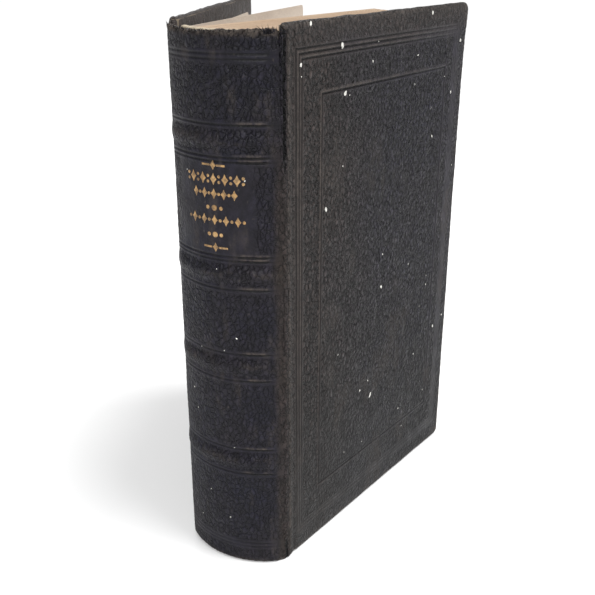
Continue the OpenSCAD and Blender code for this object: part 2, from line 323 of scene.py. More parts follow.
class Look:
    """A material being made, with a short method for each kind of node in it."""

    def __init__(self, name):
        self.material = bpy.data.materials.new(name)
        self.material.use_nodes = True
        self.tree = self.material.node_tree
        self.tree.nodes.clear()
        self.body = self.node("BsdfPrincipled")
        self.node("OutputMaterial", {"Surface": self.body.outputs["BSDF"]})

    def node(self, kind, inputs=None, **settings):
        made = self.tree.nodes.new("ShaderNode" + kind)
        for key, value in settings.items():
            setattr(made, key, value)
        for key, value in (inputs or {}).items():
            if isinstance(value, bpy.types.NodeSocket):
                self.tree.links.new(value, made.inputs[key])
            else:
                made.inputs[key].default_value = value
        return made

    def finish(self, colour, roughness, normal=None, specular=0.5):
        """Joins what was made to the shader."""
        for name, socket in (("Base Color", colour), ("Roughness", roughness), ("Normal", normal)):
            if socket:
                self.tree.links.new(socket, self.body.inputs[name])
        self.body.inputs["Specular IOR Level"].default_value = specular
        return self.material

    def value(self, name):
        return self.node("Attribute", attribute_name=name).outputs["Fac"]

    def stretched(self, place, stretch):
        return self.node("VectorMath", {0: place, 1: stretch}, operation="MULTIPLY").outputs[0]

    def rest(self, stretch=(1, 1, 1)):
        """Where each point is at rest, so that a texture stays on a piece that bends."""
        return self.stretched(self.node("Attribute", attribute_name="rest_co").outputs["Vector"], stretch)

    def own(self, stretch=(1, 1, 1)):
        """Object coordinates, for the CAD nodes."""
        return self.stretched(self.node("TexCoord").outputs["Object"], stretch)

    def noise(self, place, scale, detail=3.0, roughness=0.55):
        return self.node("TexNoise", {"Vector": place, "Scale": scale, "Detail": detail,
                                      "Roughness": roughness}).outputs["Fac"]

    def cells(self, place, scale, feature="F1"):
        return self.node("TexVoronoi", {"Vector": place, "Scale": scale}, feature=feature).outputs["Distance"]

    def bands(self, direction, scale, distortion, detail=2):
        inputs = {"Vector": self.own(), "Scale": scale, "Distortion": distortion, "Detail": detail}
        return self.node("TexWave", inputs, wave_type="BANDS", bands_direction=direction).outputs["Fac"]

    def ramp(self, value, *stops):
        """Grey levels at places along 0 to 1."""
        made = self.node("ValToRGB", {"Fac": value})
        band = made.color_ramp
        while len(band.elements) < len(stops):
            band.elements.new(0.5)
        for element, (place, level) in zip(band.elements, stops):
            element.position = place
            element.color = (level, level, level, 1)
        return made.outputs["Color"]

    def mix(self, share, a, b, blend="MIX"):
        a, b = (value if isinstance(value, bpy.types.NodeSocket) else (*value, 1) for value in (a, b))
        return self.node("Mix", {0: share, 6: a, 7: b}, data_type="RGBA", blend_type=blend,
                         clamp_factor=True).outputs[2]

    def times(self, a, b):
        return self.calc("MULTIPLY", a, b)

    def calc(self, operation, a, b, clamp=False):
        return self.node("Math", {0: a, 1: b}, operation=operation, use_clamp=clamp).outputs[0]

    def bump(self, height, distance, strength, under=None):
        inputs = {"Height": height, "Distance": distance, "Strength": strength}
        if under:
            inputs["Normal"] = under
        return self.node("Bump", inputs).outputs["Normal"]


def darker(colour, share):
    return tuple(c * share for c in colour)


def leather(name, black_and_blue_sheen, warm, worn, rough, specular):
    """Black grained leather, its blue-black base a painted sheen over black. Points carry warm (brown), a wear
    value (rubbed places plus painted highlights on tooled ridges), a crease value (painted shade) and flat
    (pressed).
    """
    look = Look(name)
    place, long_place = look.rest(), look.rest((1, 1, 0.7))
    sway = look.node("TexNoise", {"Vector": place, "Scale": 700, "Detail": 2}).outputs["Color"]
    sway = look.node("VectorMath", {0: sway, 1: (0.0012, 0.0012, 0.0012), 2: long_place},
                     operation="MULTIPLY_ADD").outputs[0]
    walls = look.cells(sway, 800, "DISTANCE_TO_EDGE")
    grain = look.ramp(walls, (0.0, 0.0), (0.10, 0.6), (0.32, 1.0))
    grain = look.mix(look.value("flat"), grain, (0.75, 0.75, 0.75))
    patches = look.ramp(look.noise(place, 55, 4), (0.3, 0.0), (0.7, 1.0))
    tone = look.calc("ADD", look.value("warm"), look.times(patches, 0.35), clamp=True)
    mottle = look.ramp(look.noise(long_place, 420, 4, 0.65), (0.32, 0.6), (0.5, 1.0), (0.72, 1.7))
    # Painted shade: the crease value darkens grooves, the joint's crack and the lower cover.
    painted_shade_ramp = look.ramp(look.value("crease"), (0.0, 1.25), (1.0, 0.12))
    # Where the leather is least brown it shows black with a painted blue sheen, strongest at the fore-edge.
    colour = look.mix(tone, black_and_blue_sheen, warm)
    # The grain's ramp is painted shade in the walls between its cells and a painted highlight inside them; mottle
    # is the leather's own uneven tone.
    for share in (mottle, painted_shade_ramp, look.ramp(grain, (0.0, 0.25), (1.0, 1.3))):
        colour = look.mix(1.0, colour, share, "MULTIPLY")
    # Rubbed places and the painted ridge highlights take the rubbed brown and a matt finish.
    rub_and_highlight = look.times(look.value("wear"),
                     look.ramp(look.noise(long_place, 700, 5, 0.7), (0.36, 0.0), (0.62, 1.0)))
    # Painted highlight: sparse pale dots of the rubbed colour inside the grain's cells.
    tops = look.times(look.ramp(look.noise(place, 900, 2, 0.5), (0.56, 0.0), (0.7, 1.0)),
                      look.ramp(walls, (0.25, 0.0), (0.5, 1.0)))
    colour = look.mix(rub_and_highlight, colour, worn)
    colour = look.mix(look.times(tops, 0.5), colour, worn)
    normal = look.bump(grain, 0.00048, 1.0)
    normal = look.bump(look.noise(long_place, 1300, 3, 0.6), 0.00016, 0.7, normal)
    normal = look.bump(look.cells(long_place, 1700), 0.00010, 0.5, normal)
    gloss = look.ramp(look.noise(long_place, 300, 3), (0.3, rough - 0.09), (0.7, rough + 0.1))
    return look.finish(colour, look.mix(rub_and_highlight, gloss, (0.85, 0.85, 0.85)), normal, specular)


def paper(name, light, dark, edge_tone):
    """Old paper: browner edges, soft mottling, faint fibres and a few brown specks."""
    look = Look(name)
    place = look.rest()
    cloud = look.ramp(look.noise(place, 40, 4), (0.3, 0.0), (0.75, 1.0))
    edge_colour = tuple(c * share for c, share in zip(dark, (0.75, 0.66, 0.55)))
    colour = look.mix(look.times(look.value("edge"), edge_tone), look.mix(cloud, light, dark), edge_colour)
    fibres = look.ramp(look.noise(look.rest((1, 1, 3)), 900, 4, 0.7), (0.3, 0.88), (0.7, 1.06))
    colour = look.mix(1.0, colour, fibres, "MULTIPLY")
    foxing = look.ramp(look.noise(place, 260, 2, 0.4), (0.7, 0.0), (0.8, 1.0))
    colour = look.mix(look.times(foxing, 0.3), colour, darker(dark, 0.5))
    return look.finish(colour, look.ramp(cloud, (0.0, 0.82), (1.0, 0.94)),
                       look.bump(look.noise(place, 1500, 4, 0.7), 0.00006, 0.5), 0.2)


def folded_pages(name, light, dark):
    """The glued folds of the sections, seen as fine lines side by side."""
    look = Look(name)
    lines = look.bands("Y", 1600, 1.5, 3)
    colour = look.mix(look.ramp(lines, (0.2, 1.0), (0.8, 0.0)), light, dark)
    glue = look.ramp(look.noise(look.own(), 180, 4), (0.4, 0.0), (0.7, 0.7))
    return look.finish(look.mix(glue, colour, darker(dark, 0.6)), look.ramp(glue, (0.0, 0.9), (1.0, 0.6)),
                       look.bump(lines, 0.00008, 0.6))


def woven(name, light, dark, threads):
    """Plain weave: two sets of threads, with slubs and a little grime."""
    look = Look(name)
    weave = look.calc("MAXIMUM", look.bands("Z", threads, 0.6), look.bands("Y", threads, 0.6))
    grime = look.ramp(look.noise(look.own(), 150, 4), (0.4, 1.0), (0.8, 0.65))
    return look.finish(look.mix(1.0, look.mix(weave, dark, light), grime, "MULTIPLY"),
                       look.ramp(grime, (0.0, 0.95), (1.0, 0.85)), look.bump(weave, 0.0001, 0.8))


def card(name, light, dark):
    """Grey-brown board with pressed fibres."""
    look = Look(name)
    fibres = look.noise(look.own((1, 1, 0.3)), 700, 5, 0.7)
    return look.finish(look.mix(look.ramp(fibres, (0.3, 0.0), (0.7, 1.0)), dark, light),
                       look.ramp(look.noise(look.own(), 120, 3), (0.3, 0.8), (0.7, 0.95)),
                       look.bump(fibres, 0.0001, 0.6))


def twisted_cord(name, light, dark):
    look = Look(name)
    strands = look.bands("DIAGONAL", 500, 1.0)
    return look.finish(look.mix(strands, dark, light), look.ramp(strands, (0.0, 0.95), (1.0, 0.8)),
                       look.bump(strands, 0.00015, 0.8))


def gold_leaf(name):
    """Rubbed gold: bright metal with dark leather showing through where it is worn."""
    look = Look(name)
    place = look.rest()
    rubbed = look.ramp(look.noise(place, 900, 4, 0.7), (0.4, 0.0), (0.62, 1.0))
    tone = look.ramp(look.noise(place, 160, 3), (0.3, 0.0), (0.7, 1.0))
    gold = look.mix(tone, (0.33, 0.19, 0.075), (0.50, 0.32, 0.145))
    look.tree.links.new(look.ramp(rubbed, (0.0, 0.75), (1.0, 0.25)), look.body.inputs["Metallic"])
    return look.finish(look.mix(look.times(rubbed, 0.75), gold, (0.07, 0.045, 0.026)),
                       look.ramp(rubbed, (0.0, 0.36), (1.0, 0.6)),
                       look.bump(look.noise(place, 2200, 3), 0.00005, 0.6))


def fleck_paint(name):
    look = Look(name)
    chalk = look.noise(look.rest(), 1400, 3)
    colour = look.mix(look.ramp(chalk, (0.35, 0.0), (0.65, 1.0)), (0.42, 0.41, 0.38), (0.78, 0.77, 0.72))
    return look.finish(colour, look.ramp(chalk, (0.3, 0.7), (0.7, 0.9)))


def floor_paint(name):
    look = Look(name)
    tint = look.ramp(look.noise(look.own(), 3, 2), (0.3, 0.90), (0.7, 0.93))
    look.body.inputs["Roughness"].default_value = 0.9
    return look.finish(tint, None, None, 0.1)


# The blue in each leather's first colour is a painted sheen over the black.
COVER_LEATHER = leather("cover_leather", (0.0112, 0.0108, 0.0178), (0.0225, 0.0172, 0.0160),
                        (0.080, 0.068, 0.060), rough=0.46, specular=0.28)
# The spine's leather is a darker copy of the cover's: painted shade that makes the spine, its joints and the torn
# fibres darker than the front cover.
SHADED_SPINE_LEATHER_LOOK = leather("spine_leather", (0.0056, 0.0056, 0.0115), (0.0160, 0.0112, 0.0095),
                             (0.080, 0.066, 0.056), rough=0.5, specular=0.19)
LEAF_PAPER = paper("leaf_paper", (0.68, 0.57, 0.45), (0.52, 0.40, 0.30), edge_tone=0.55)
END_PAPER = paper("endpaper", (0.73, 0.67, 0.60), (0.60, 0.53, 0.47), edge_tone=0.45)
GOLD = gold_leaf("gilt")
FLECKS = fleck_paint("paint_flecks")
FOLD_LINES = folded_pages("section_folds", (0.62, 0.52, 0.38), (0.30, 0.23, 0.15))
MILLBOARD = card("millboard", (0.30, 0.25, 0.19), (0.17, 0.14, 0.10))
SPINE_CARD = card("spine_card", (0.40, 0.33, 0.24), (0.24, 0.19, 0.13))
LINING = woven("lining_cloth", (0.66, 0.59, 0.46), (0.40, 0.34, 0.25), 900)
TAPE = woven("linen_tape", (0.72, 0.67, 0.55), (0.48, 0.43, 0.34), 1300)
ENDBAND = woven("endband_cloth", (0.52, 0.44, 0.32), (0.26, 0.21, 0.15), 1600)
CORD = twisted_cord("cap_cord", (0.5, 0.42, 0.3), (0.28, 0.22, 0.15))
THREAD = twisted_cord("sewing_thread", (0.8, 0.76, 0.66), (0.55, 0.5, 0.4))


# -------- covers

def on_cover(side, s, depth, z):
    """Place at s from the hinge line along a cover, depth in from its outer face, and height z."""
    return turned(HINGE[side], COVER_ANGLE[side], s, -OUTWARD[side] * depth, z)


def cover_inset(s, z):
    return least(s - COVER_START, COVER_W - s, z, BOOK_H - z)


def plate_place(s, z, head_r, tail_r, seed):
    """A cover's grid place with its corners rounded and its edges worn, and the depth of its rounded edge."""
    near, right, low, high = s - COVER_START, COVER_W - s, z, BOOK_H - z
    inset = cover_inset(s, z)
    depth = EDGE_R - np.sqrt(most(EDGE_R ** 2 - most(EDGE_R - inset, 0) ** 2, 0))
    out_s, out_z = s.copy(), z.copy()
    for end_r, gap, foot, sign in ((tail_r, low, 0.0, -1), (head_r, high, BOOK_H, 1)):
        for radius, gap_s, end_s, sign_s in ((end_r, right, COVER_W, 1), (1.5, near, COVER_START, -1)):
            inside, a, b = rounded(gap_s, gap, radius)
            out_s = np.where(inside, end_s + sign_s * (a - radius), out_s)
            out_z = np.where(inside, foot + sign * (b - radius), out_z)
    worn = 0.45 * fbm(s / 7, z / 7, seed + 40) + 0.2 * fbm(s / 1.6, z / 1.6, seed + 41) - 0.12
    pull = most(worn, 0) * np.exp(-inset / 1.2)
    out_s -= pull * ease(EDGE_WEAR, 0, right)
    out_z -= pull * ease(EDGE_WEAR, 0, high) - pull * ease(EDGE_WEAR, 0, low)
    out_s += (0.6 * ease(11, 3, high) + 0.9 * ease(60, 2, high) ** 2) * ease(9, 1, right)
    return out_s, out_z, depth


def tooled_frame(s, z, line):
    """Distance from a rectangle of tooling, outside positive."""
    joint_in, fore_in, end_in = line
    return most(joint_in - s, s - (COVER_W - fore_in), np.abs(z - BOOK_H / 2) - (BOOK_H / 2 - end_in))


def cover_flat(s, z):
    """1 where the tooling has pressed the grain flat."""
    flat = most(*(ease(0.9, 0.4, np.abs(tooled_frame(s, z, line))) for line in TOOLING))
    return 0.9 * most(flat, 0.5 * ease(60, 8, z) * ease(90, 40, s))


def cover_grain(s, z, seed):
    """Height of the grain and the pressed lines on a cover's outer face, in mm."""
    strength = 0.5 + 0.5 * ease(2, 9, least(s, COVER_W - s, z, BOOK_H - z))
    strength *= 1.0 - 0.3 * ease(70, 86, s)
    height = strength * leather_grain(s, z, seed) * (1 - cover_flat(s, z))
    kept = 0.18 + 0.82 * ease(88, 40, s) * ease(0, 80, z)
    for line in OUTER_LINES:
        height -= 0.32 * kept * bump_at(tooled_frame(s, z, line), 0, 0.21)
    for line in OUTER_LINES[1:]:
        height += 0.16 * kept * bump_at(tooled_frame(s, z, line), 0.52, 0.19)
    d = tooled_frame(s, z, INNER_LINE)
    return height + (0.35 + 0.65 * kept) * (-0.34 * bump_at(d, 0, 0.24) + 0.17 * bump_at(d, 0.5, 0.17))


def cover_relief(s, z, seed):
    """Height of a cover's outer face in mm: grain, slight dents and the ridge beside the joint."""
    height = cover_grain(s, z, seed) + 0.16 * (fbm(s / 16, z / 22, seed + 30, 2) - 0.5)
    height += 0.2 * bump_at(s, 1.7, 0.9) - 0.25 * bump_at(s, 3.4, 0.9)
    return height + 0.16 * (fbm(s / 1.2, z / 2.6, seed + 31) - 0.5) * ease(5, 2, s)


def cover_tones(s, z, seed):
    """Brown tone and rubbing over a cover: rubbed at its edges, corners and joint, with painted highlights on the
    ridges beside the tooled lines, and least brown at the fore-edge, where the painted blue sheen shows.
    """
    warm = most(0.9 * ease(52, 4, s + 14 * (fbm(s / 20, z / 20, seed + 50) - 0.5)), 0.75 * ease(138, 149, z))
    edge = cover_inset(s, z)
    ragged = edge + 1.6 * (fbm(s / 3, z / 3, seed + 51) - 0.5)
    corner = [np.hypot(COVER_W - s, end - z) + 3 * fbm(s / 2, z / 2, seed + 53) for end in (0, BOOK_H)]
    # Painted highlight on the ridges beside the tooled lines, strongest towards the joint and the head.
    ridge_highlight = ease(95, 30, s) * (0.3 + 0.7 * ease(10, 110, z)) * (0.5 + fbm(s / 4, z / 4, seed + 55))
    wear = most(0.85 * ease(2.2, 0.2, ragged) * ease(-0.6, 0.8, edge),
                0.16 * ease(6, 1, s) * (0.5 + fbm(s / 1.5, z / 4, seed + 56)),
                0.35 * ease(140, 149, z) * fbm(s / 5, z / 3, seed + 52),
                ease(8.5, 3, least(*corner)),
                *(1.3 * ridge_highlight * bump_at(tooled_frame(s, z, line), 0.5, 0.16) for line in TOOLING[1:]),
                0.3 * ease(0.62, 0.78, fbm(s / 6, z / 14, seed + 54)))
    return warm, np.clip(wear, 0, 1)


def every_fifth(count):
    return list(range(0, count - 1, 5)) + [count - 1]


def cover_skin(side, seed):
    """One cover's leather: the tooled outer face, its worn edges and the turned-in inner face, closed."""
    inner_r = 0.8
    arc = EDGE_R * (1 - np.cos(np.linspace(0, pi / 2, 5, endpoint=False)))
    s_lines = lines_between(COVER_START + EDGE_R, COVER_W - EDGE_R, 0.42,
                            [line[0] for line in TOOLING] + [COVER_W - line[1] for line in TOOLING])
    z_lines = lines_between(EDGE_R, BOOK_H - EDGE_R, 0.6,
                            [line[2] for line in TOOLING] + [BOOK_H - line[2] for line in TOOLING])
    s_lines = np.concatenate([COVER_START + arc, s_lines, (COVER_W - arc)[::-1]])
    z_lines = np.concatenate([arc, z_lines, (BOOK_H - arc)[::-1]])
    s, z = grid(s_lines, z_lines)
    head_r, tail_r = (2.4, 2.2) if side == FRONT else (2.2, 2.8)
    place_s, place_z, depth = plate_place(s, z, head_r, tail_r, seed)
    outer = on_cover(side, place_s, depth, place_z)
    outer -= OUTWARD[side] * grid_normals(outer) * cover_relief(s, z, seed)[..., None]
    rows, columns = s.shape
    kept_rows, kept_columns = every_fifth(rows), every_fifth(columns)
    pick = np.ix_(kept_rows, kept_columns)
    inner = on_cover(side, place_s[pick], SKIN_T - depth[pick] * inner_r / EDGE_R, place_z[pick])
    index = np.arange(rows * columns).reshape(rows, columns)
    inner_index = rows * columns + np.arange(inner.size // 3).reshape(inner.shape[:2])
    faces = grid_faces(rows, columns) + grid_faces(*inner.shape[:2], rows * columns)
    for fine, coarse, kept in ((index[:, 0], inner_index[:, 0], kept_rows),
                               (index[:, -1], inner_index[:, -1], kept_rows),
                               (index[0], inner_index[0], kept_columns),
                               (index[-1], inner_index[-1], kept_columns)):
        for k, (low, high) in enumerate(zip(kept, kept[1:])):
            faces.append([*fine[low:high + 1], coarse[k + 1], coarse[k]])
    warm, wear = cover_tones(s, z, seed)
    # Painted shade: darker in the grain's grooves and the tooled lines, and towards the bottom of the cover.
    crease = np.clip(0.12 + 0.63 * ease(90, 5, z) - 5 * cover_grain(s, z, seed), 0, 1)
    both = lambda outside, inside: np.concatenate([outside.ravel(), np.full(inner.size // 3, inside)])
    points = np.concatenate([outer.reshape(-1, 3), inner.reshape(-1, 3)])
    piece = add_mesh(f"{side}_cover_skin", points, faces, COVER_LEATHER, warm=both(warm, 0.9),
                     wear=both(wear, 0.45), crease=both(crease, 0.0), flat=both(cover_flat(s, z), 0.6))
    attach(piece, f"{side}_cover")
    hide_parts(f"{side}_cover_leather")


def sheet_lines(low, high, corner, step):
    """Grid lines for a sheet, closer together at its ends, where its corners are rounded."""
    ends = corner * np.array([0.0, 0.12, 0.3, 0.55, 0.8, 1.0])
    middle = np.linspace(low + corner, high - corner, max(2, int((high - low) / step)))
    return np.concatenate([low + ends[:-1], middle, (high - ends[:-1])[::-1]])


def round_corners(r, z, far, low, high, corner):
    """Rounds the two fore-edge corners of a sheet's grid places."""
    out_r, out_z = r.copy(), z.copy()
    for gap, foot, sign in ((z - low, low, -1), (high - z, high, 1)):
        inside, a, b = rounded(far - r, gap, corner)
        out_r = np.where(inside, far - corner + a, out_r)
        out_z = np.where(inside, foot + sign * (b - corner), out_z)
    return out_r, out_z


def pastedown(side):
    """The paper pasted inside a cover, over the turned-in leather and round its edge into the joint."""
    high_s, inset, corner, paper_depth = COVER_W - 5.0, 5.0, 2.0, 2.77
    wrap = np.linspace(0, pi / 2, 6)[:-1]
    wrap_s = np.concatenate([[0.0, 0.0], 0.9 * (1 - np.cos(wrap))]) + 0.33
    wrap_depth = np.concatenate([[0.75, 1.3], 1.82 + 0.95 * np.sin(wrap)])
    flat_s = sheet_lines(1.3, high_s, corner, 4)
    depth = np.concatenate([wrap_depth, np.full(len(flat_s), paper_depth)])[:, None]
    s, z = grid(np.concatenate([wrap_s, flat_s]), sheet_lines(inset, BOOK_H - inset, corner, 5))
    s, z = round_corners(s, z, high_s, inset, BOOK_H - inset, corner)
    z = BOOK_H / 2 + (z - BOOK_H / 2) * (1 - 0.05 * ease(4, 0.6, s))
    step = 0.06 * ease(13, 11, least(COVER_W - s, z, BOOK_H - z))
    lift = (0.03 * fbm(s / 14, z / 18, 70 + OUTWARD[side]) + step) * ease(1.3, 4, s)
    back_off = ease(1.3, 0.4, s)
    points, faces = slab(on_cover(side, s, depth + lift, z),
                         on_cover(side, s + 0.12 * back_off, depth - 0.09 * (1 - 0.6 * back_off), z))
    edge = ease(10, 0, least(high_s - s, z - inset, BOOK_H - inset - z))
    piece = add_mesh(f"{side}_pastedown_paper", points, faces, END_PAPER, sharp=40, edge=twice(edge))
    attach(piece, f"{side}_cover")
    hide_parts(f"{side}_pastedown")


# -------- spine

def spine_plan(count):
    """The spine's outer line in plan, front to back: places, outward normals, length from its middle."""
    shoulder = HINGE[BACK] - np.array(SHOULDER)
    radius, reach = arc_size(shoulder[1], shoulder[0] - SPINE_X)
    turn = np.linspace(-reach, reach, 400)
    arc = np.stack([SPINE_X + radius * (1 - np.cos(turn)), radius * np.sin(turn)], -1)
    hinge_gap = 0.55
    end = HINGE[BACK] - hinge_gap * np.array(SHOULDER) / hypot(*SHOULDER)
    line = np.concatenate([[end * (1, -1)], arc, [end]])
    length = length_along(line)
    even = np.linspace(0, length[-1], 800)
    line = resampled(line, length, even)
    smoothing, reach = 0.9, 60
    spread = smoothing / (even[1] - even[0])
    kernel = np.exp(-0.5 * (np.arange(-reach, reach + 1) / spread) ** 2)
    kernel /= kernel.sum()
    padded = np.pad(line, ((reach, reach), (0, 0)), "reflect", reflect_type="odd")
    line = np.stack([np.convolve(padded[:, k], kernel, "valid") for k in (0, 1)], -1)
    line = resampled(line, np.arange(len(line)), np.linspace(0, len(line) - 1, count))
    step = length_along(line)
    return line, normals_of(line), step - step[-1] / 2


PLAN, PLAN_OUT, PLAN_T = spine_plan(112)
SPINE_SEED = 11
SPINE_LINES = [z0 + sign * 3.9 for z0 in BAND_Z for sign in (-1, 1)] + [BAND_Z[0] - 5.0, BAND_Z[1] + 5.0]
SPINE_LINES += [edge + sign * off for edge, sign in ((0, 1), (CAP_Z, -1)) for off in (5.6, 6.8)]
GILT_LOW, GILT_HIGH = (corner[2] for corner in corners("gilt_ornament"))


def torn_joint(across, z, seed):
    """1 where the leather of the front joint is torn through: across is the distance from the tear's line."""
    rag = 1.5 * (fbm(across * 0, z / 3.2, seed) - 0.5) + 0.9 * (fbm(across / 2, z / 0.8, seed + 1) - 0.5)
    wide = 0.55 + 0.8 * ease(137, 147, z)
    return ease(113, 121, z + 5 * rag) * ease(wide, 0.4 * wide, np.abs(across) + 0.6 * rag)


def spine_flat(t, z):
    """1 where tooling or gilding has pressed the grain flat."""
    gilt = ease(GILT_LOW - 2, GILT_LOW, z) * ease(GILT_HIGH + 2, GILT_HIGH, z) * ease(13, 9, np.abs(t))
    return 0.85 * most(gilt, *(ease(1.3, 0.5, np.abs(z - line)) for line in SPINE_LINES))


def line_end(t):
    """1 at the front joint's end of the spine's tooled lines, where they are still sharp."""
    return ease(-5, -10, t) * ease(-15.5, -13.5, t)


def spine_grain(t, z):
    """Height of the spine's grain, tooled lines and torn front joint, in mm."""
    fade = (0.6 + 0.7 * line_end(t)) * (0.15 + 0.85 * ease(17.0, 14.0, np.abs(t)))
    height = 0.37 * leather_grain(t, z, SPINE_SEED) * (1 - spine_flat(t, z))
    height += 0.05 * (fbm(t / 1.6, z / 9, SPINE_SEED + 5, 2) - 0.5) * ease(8, 15, np.abs(t))
    for line in SPINE_LINES:
        faint = fade * (0.35 if line < 10 else 0.6 if line > CAP_Z - 10 else 1.0)
        height += faint * (0.10 * bump_at(np.abs(z - line), 0.5, 0.2) - 0.28 * bump_at(z, line, 0.22))
    return height - 0.75 * torn_joint(t - PLAN_T[0], z, 90)


def spine_relief(t, z):
    """Height of the spine's outer face in mm: its grain, soft wrinkles and raised bands."""
    fade = 0.22 + 0.78 * ease(17.0, 10.5, np.abs(t))
    height = spine_grain(t, z) + 0.22 * (fbm(t / 9, z / 16, SPINE_SEED + 4, 2) - 0.5)
    for band in BAND_Z:
        height += 0.85 * fade * np.clip(1 - ((z - band) / 2.5) ** 2, 0, 1) ** 1.5
        height -= 0.10 * fade * bump_at(np.abs(z - band), 2.9, 0.5)
    return height


def spine_tones(t, z):
    """Brown rubbed joints, a grey worn cap and scuffed band tops."""
    seed = SPINE_SEED + 1
    rubbed = ease(15.2, 17.6, np.abs(t) + 1.2 * (fbm(t / 2, z / 7, seed) - 0.5))
    torn_head = (t < 0) * ease(112, 126, z)
    warm = most(0.64 * rubbed * (1 - 0.85 * torn_head), 0.8 * ease(CAP_Z - 2.4, CAP_Z - 0.8, z))
    ragged = z + 2.2 * (fbm(t / 1.1, z / 0.9, seed + 1) - 0.5)
    scuffed = ease(0.42, 0.6, fbm(t / 4, z / 2, seed + 2))
    broken = [ease(0.22, 0.45, fbm(t / 2, z * 0 + line, seed + 4)) * bump_at(z, line + 0.5, 0.27)
              for line in SPINE_LINES[:-4]]
    wear = most(0.12 * rubbed * (1 - torn_head) * (0.4 + fbm(t / 1.5, z / 1.2, seed + 6)),
                0.8 * ease(CAP_Z - 1.8, CAP_Z - 0.7, ragged),
                0.6 * ease(1.6, 0.3, z),
                *(0.35 * bump_at(z, band + 0.4, 1.0) * scuffed for band in BAND_Z),
                0.95 * line_end(t) * most(*broken),
                0.25 * ease(0.6, 0.78, fbm(t / 3, z / 11, seed + 3)))
    return warm, wear


def spine_profile():
    """The skin's closed section, as (inward, height, outside): outer face, rolled caps, turned-in legs."""
    roll = CAP_T / 2
    outer_z = lines_between(roll, CAP_Z - roll, 0.42, SPINE_LINES, (0.0, 0.2, 0.4, 0.6))
    turn = np.linspace(0, pi, 13)
    rows = [(0.0, h, 1.0) for h in outer_z]
    rows += [(roll - roll * cos(a), CAP_Z - roll + roll * sin(a), 1.0) for a in turn[1:]]
    inner_faces = ((CAP_T, CAP_Z - 2.5, CAP_Z - CAP_LEG, 4), (1.4, CAP_Z - CAP_LEG, CAP_Z - 2.6, 4),
                   (SPINE_LEATHER, CAP_Z - 2.6, 2.6, 24), (1.4, 2.6, CAP_LEG, 4), (CAP_T, CAP_LEG, 2.5, 4))
    for inward, start, end, count in inner_faces:
        rows += [(inward, h, 0.0) for h in np.linspace(start, end, count)]
    rows += [(roll - roll * cos(a), roll - roll * sin(a), 1.0) for a in turn[:0:-1]]
    return np.array(rows)


def on_plan(t, line):
    """X and Y of a line along the spine's plan, at t from its middle."""
    return [np.interp(t, PLAN_T, line[:, k]) for k in (0, 1)]


def on_spine(t, z, lift=0.0):
    """Place on the spine's finished outer face, lift mm above it."""
    rise = spine_relief(t, z) + lift
    x, y = (place + out * rise for place, out in zip(on_plan(t, PLAN), on_plan(t, PLAN_OUT)))
    return np.stack([x, y, z + 0 * t], -1)


def spine_spot(t, z):
    """One place on the spine's outer face, and the way out from it."""
    place = on_spine(np.array([t]), np.array([z]))[0]
    return place, np.array([*on_plan(t, PLAN_OUT), 0])


def spine_skin():
    """The spine's leather, rolled over a cord at head and tail and frayed along the head."""
    profile = spine_profile()
    t = PLAN_T[:, None] + 0 * profile[None, :, 0]
    inward, z, outside = (profile[None, :, k] + 0 * t for k in (0, 1, 2))
    inward = inward * (1 - 0.55 * ease(14.5, 18.5, np.abs(t)))
    sag = 0.55 * bump_at(t, 4, 9) + 0.35 * (fbm(t / 5, t / 5, 60) - 0.3)
    z = z - most(sag, 0) * ease(CAP_Z - 6, CAP_Z, z)
    points = np.stack([PLAN[:, None, k] - PLAN_OUT[:, None, k] * inward for k in (0, 1)] + [z], -1)
    fray = (fbm(t / 0.7, inward / 0.7 + z, 61) - 0.5) * 0.7 * ease(CAP_Z - 2.2, CAP_Z - 0.6, z)
    relief = spine_relief(t, z) * outside * ease(CAP_T, 0.4, inward) + fray * outside
    points -= grid_normals(points, loop=True) * relief[..., None]
    points[..., 2] = most(points[..., 2], 0.0)
    rows, columns = points.shape[:2]
    faces = grid_faces(rows, columns, loop=True)
    faces += [list(range(columns)), list(range((rows - 1) * columns, rows * columns))]
    warm, wear = spine_tones(t, z)
    top = ease(0.35, 1.0, inward) * (z > CAP_Z - 3)
    flat = spine_flat(t, z)
    # Painted shade: darker in the grain's grooves, the tooled lines and the torn joint, a little where pressed
    # flat, and towards the head.
    crease = 0.12 + 0.08 * flat + 0.16 * ease(95, 135, z) - 4 * spine_grain(t, z)
    piece = add_mesh("spine_skin", points.reshape(-1, 3), faces, SHADED_SPINE_LEATHER_LOOK, warm=warm,
                     wear=most(wear, top * (0.75 + 0.25 * outside)),
                     crease=np.clip(crease, 0, 1) * outside, flat=np.clip(0.35 + flat, 0, 1))
    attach(piece, "spine")
    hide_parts("spine_leather")


